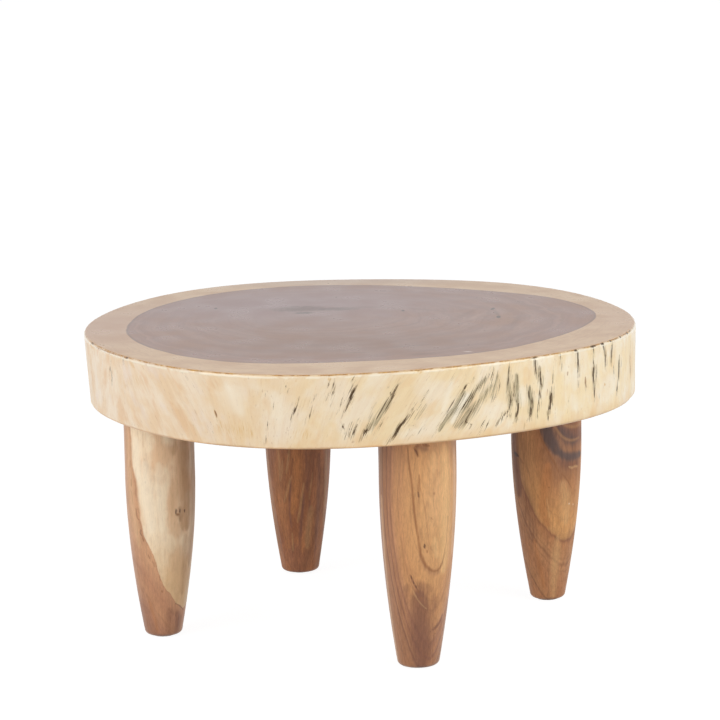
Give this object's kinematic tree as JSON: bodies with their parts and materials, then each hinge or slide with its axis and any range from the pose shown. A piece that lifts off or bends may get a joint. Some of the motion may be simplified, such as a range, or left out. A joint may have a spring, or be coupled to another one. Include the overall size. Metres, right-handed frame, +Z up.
{
  "type": "low table",
  "caption": "Round low table: a thick live-edge trunk slice on stout turned legs that taper to small flat feet.",
  "frame": {"origin": "on the floor, under the middle of the top's bounding box", "axes": "+Z up; the four legs stand on the diagonals, so the front, -Y, faces between two legs and +X is to its right"},
  "size_m": [0.7332, 0.7329, 0.4],
  "materials": {
    "trunk_slice": "satin lacquer over pale sapwood and brown heartwood",
    "leg_wood": "satin lacquer",
    "zinc_steel": "zinc plated",
    "brown_felt": "matt brown felt"
  },
  "bodies": {
    "root": {"slab_top": "trunk_slice", "leg_front_left": "leg_wood", "leg_front_right": "leg_wood", "leg_back_left": "leg_wood", "leg_back_right": "leg_wood", "hanger_bolt_front_left": "zinc_steel", "hanger_bolt_front_right": "zinc_steel", "hanger_bolt_back_left": "zinc_steel", "hanger_bolt_back_right": "zinc_steel", "threaded_insert_front_left": "zinc_steel", "threaded_insert_front_right": "zinc_steel", "threaded_insert_back_left": "zinc_steel", "threaded_insert_back_right": "zinc_steel", "felt_glide_front_left": "brown_felt", "felt_glide_front_right": "brown_felt", "felt_glide_back_left": "brown_felt", "felt_glide_back_right": "brown_felt"}
  },
  "joints": []
}
